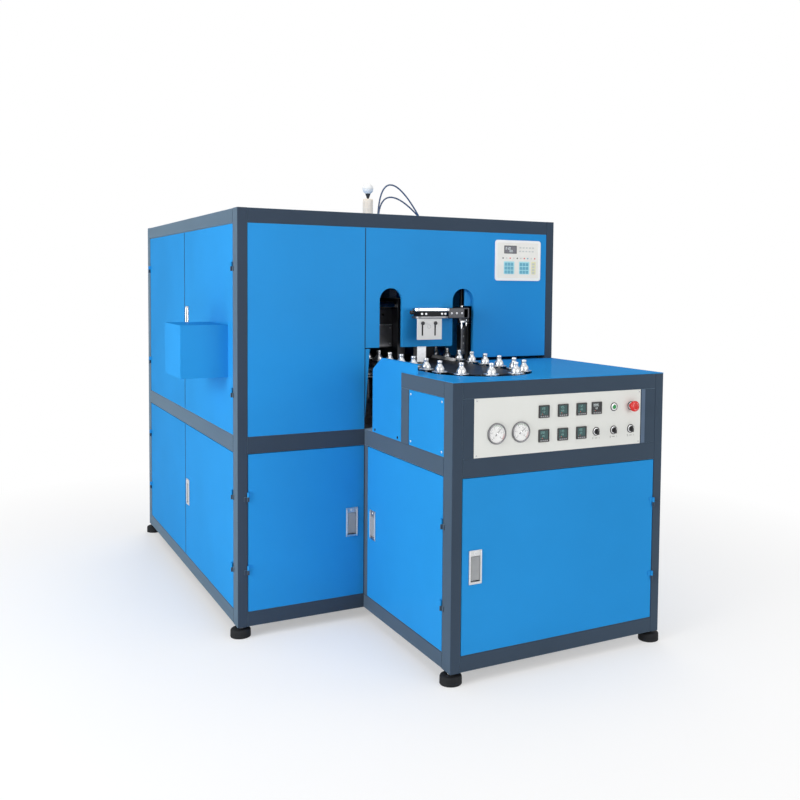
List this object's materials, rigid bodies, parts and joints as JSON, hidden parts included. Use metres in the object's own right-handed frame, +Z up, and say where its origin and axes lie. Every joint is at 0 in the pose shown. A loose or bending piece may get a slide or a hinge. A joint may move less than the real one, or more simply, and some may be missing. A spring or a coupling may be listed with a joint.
{
  "type": "blow moulding machine",
  "caption": "Semi-automatic stretch blow moulding machine: a panelled tube-frame cabinet with a lower loading table, a chain of preform holders and a control panel.",
  "frame": {"origin": "on the floor, under the middle of the overall box of the machine", "axes": "+X to the right seen from the front, +Y into the depth from the loading table, +Z up"},
  "size_m": [1.8816, 2.9294, 2.0773],
  "materials": {
    "frame_paint": "satin enamel",
    "blue_paint": "satin enamel",
    "pale_paint": "satin enamel",
    "black_paint": "matt enamel",
    "white_paint": "gloss enamel",
    "bright_steel": "machined",
    "aluminium": "machined",
    "chrome": "polished",
    "black_plastic": "moulded",
    "pale_plastic": "moulded",
    "sand_plastic": "moulded",
    "blue_tube": "translucent tube",
    "red_plastic": "moulded",
    "green_plastic": "moulded",
    "lamp_glass": "clear"
  },
  "bodies": {
    "machine": {"main_frame": "frame_paint", "table_frame": "frame_paint", "levelling_feet": "black_plastic", "roof_panel": "blue_paint", "fixed_panels": "blue_paint", "slotted_panel": "blue_paint", "table_top": "blue_paint", "centre_plate": "black_paint", "side_cover": "blue_paint", "instrument_panel": "pale_paint", "pressure_gauges": "chrome", "panel_meters": "black_plastic", "switch_collars": "chrome", "keypad": "pale_plastic", "panel_screws": "bright_steel", "hinge_pins": "bright_steel", "machine_bed": "bright_steel", "end_platens": "bright_steel", "fixed_mould": "aluminium", "tie_bars": "chrome", "clamp_cylinder": "aluminium", "base_cylinder": "aluminium", "blow_cylinder": "aluminium", "chain_track": "bright_steel", "chain": "bright_steel", "preform_holders": "aluminium", "gearmotor": "aluminium", "oven_housing": "blue_paint", "heater_lamps": "lamp_glass", "electrical_plate": "pale_plastic", "air_service_unit": "aluminium", "air_tubes": "blue_tube", "roof_fittings": "sand_plastic", "lift_column": "bright_steel", "drive_wheel": "bright_steel", "idler_wheel": "bright_steel"},
    "front_door": {"front_door": "blue_paint"},
    "table_front_door": {"table_front_door": "blue_paint"},
    "table_side_door": {"table_side_door": "blue_paint"},
    "lower_front_door": {"lower_front_door": "blue_paint"},
    "upper_front_door": {"upper_front_door": "blue_paint", "cylinder_cover": "blue_paint"},
    "lower_rear_door": {"lower_rear_door": "blue_paint"},
    "upper_rear_door": {"upper_rear_door": "blue_paint"},
    "front_latch": {"front_latch": "chrome"},
    "table_front_latch": {"table_front_latch": "chrome"},
    "table_side_latch": {"table_side_latch": "chrome"},
    "lower_latch": {"lower_latch": "chrome"},
    "upper_latch": {"upper_latch": "chrome"},
    "clamp": {"moving_platen": "bright_steel", "moving_mould": "aluminium"},
    "base_plug": {"base_plug": "bright_steel"},
    "stretch_rods": {"stretch_rods": "chrome"},
    "arm": {"lifting_arm": "black_paint", "slotted_plate": "white_paint"},
    "selector_knob_1": {"selector_knob_1": "black_plastic"},
    "selector_knob_2": {"selector_knob_2": "black_plastic"},
    "selector_knob_3": {"selector_knob_3": "black_plastic"},
    "stop_button": {"stop_button": "red_plastic"},
    "start_button": {"start_button": "green_plastic"}
  },
  "joints": [
    {"name": "front_door_swing", "type": "hinge", "parent": "machine", "child": "front_door", "pos_m": [-0.6855, -0.57795, 0.468], "axis": [0, 0, -1], "range_deg": [0, 110]},
    {"name": "table_front_door_swing", "type": "hinge", "parent": "machine", "child": "table_front_door", "pos_m": [0.872, -1.43795, 0.468], "axis": [0, 0, 1], "range_deg": [0, 110]},
    {"name": "table_side_door_swing", "type": "hinge", "parent": "machine", "child": "table_side_door", "pos_m": [-0.13695, -1.3565, 0.468], "axis": [0, 0, 1], "range_deg": [0, 110]},
    {"name": "lower_front_door_swing", "type": "hinge", "parent": "machine", "child": "lower_front_door", "pos_m": [-0.73695, -0.4965, 0.468], "axis": [0, 0, 1], "range_deg": [0, 110]},
    {"name": "upper_front_door_swing", "type": "hinge", "parent": "machine", "child": "upper_front_door", "pos_m": [-0.73695, -0.4965, 1.366], "axis": [0, 0, 1], "range_deg": [0, 100]},
    {"name": "lower_rear_door_swing", "type": "hinge", "parent": "machine", "child": "lower_rear_door", "pos_m": [-0.73695, 1.381, 0.468], "axis": [0, 0, -1], "range_deg": [0, 110]},
    {"name": "upper_rear_door_swing", "type": "hinge", "parent": "machine", "child": "upper_rear_door", "pos_m": [-0.73695, 1.381, 1.366], "axis": [0, 0, -1], "range_deg": [0, 110]},
    {"name": "front_latch_lift", "type": "hinge", "parent": "front_door", "child": "front_latch", "pos_m": [-0.19375, -0.56575, 0.4135], "axis": [1, 0, 0], "range_deg": [0, 35], "stiffness_Nm_per_rad": 0.3},
    {"name": "table_front_latch_lift", "type": "hinge", "parent": "table_front_door", "child": "table_front_latch", "pos_m": [-0.02475, -1.42575, 0.4135], "axis": [1, 0, 0], "range_deg": [0, 35], "stiffness_Nm_per_rad": 0.3},
    {"name": "table_side_latch_lift", "type": "hinge", "parent": "table_side_door", "child": "table_side_latch", "pos_m": [-0.12475, -0.67275, 0.4135], "axis": [0, -1, 0], "range_deg": [0, 35], "stiffness_Nm_per_rad": 0.3},
    {"name": "lower_latch_lift", "type": "hinge", "parent": "lower_front_door", "child": "lower_latch", "pos_m": [-0.72475, 0.38025, 0.4135], "axis": [0, -1, 0], "range_deg": [0, 35], "stiffness_Nm_per_rad": 0.3},
    {"name": "upper_latch_lift", "type": "hinge", "parent": "upper_front_door", "child": "upper_latch", "pos_m": [-0.72475, 0.38025, 1.3265], "axis": [0, -1, 0], "range_deg": [0, 35], "stiffness_Nm_per_rad": 0.3},
    {"name": "clamp_stroke", "type": "slide", "parent": "machine", "child": "clamp", "axis": [1, 0, 0], "range_m": [0, 0.109]},
    {"name": "base_plug_drop", "type": "slide", "parent": "machine", "child": "base_plug", "axis": [0, 0, -1], "range_m": [0, 0.095]},
    {"name": "stretch_lift", "type": "slide", "parent": "machine", "child": "stretch_rods", "axis": [0, 0, 1], "range_m": [0, 0.18]},
    {"name": "arm_lift", "type": "slide", "parent": "machine", "child": "arm", "axis": [0, 0, 1], "range_m": [0, 0.06]},
    {"name": "selector_1_turn", "type": "hinge", "parent": "machine", "child": "selector_knob_1", "pos_m": [0.55625, -1.44275, 0.965], "axis": [0, 1, 0], "range_deg": [0, 90]},
    {"name": "selector_2_turn", "type": "hinge", "parent": "machine", "child": "selector_knob_2", "pos_m": [0.64825, -1.44275, 0.965], "axis": [0, 1, 0], "range_deg": [0, 90]},
    {"name": "selector_3_turn", "type": "hinge", "parent": "machine", "child": "selector_knob_3", "pos_m": [0.74025, -1.44275, 0.965], "axis": [0, 1, 0], "range_deg": [0, 90]},
    {"name": "stop_press", "type": "slide", "parent": "machine", "child": "stop_button", "axis": [0, 1, 0], "range_m": [0, 0.006]},
    {"name": "start_press", "type": "slide", "parent": "machine", "child": "start_button", "axis": [0, 1, 0], "range_m": [0, 0.003], "stiffness_N_per_m": 300}
  ]
}
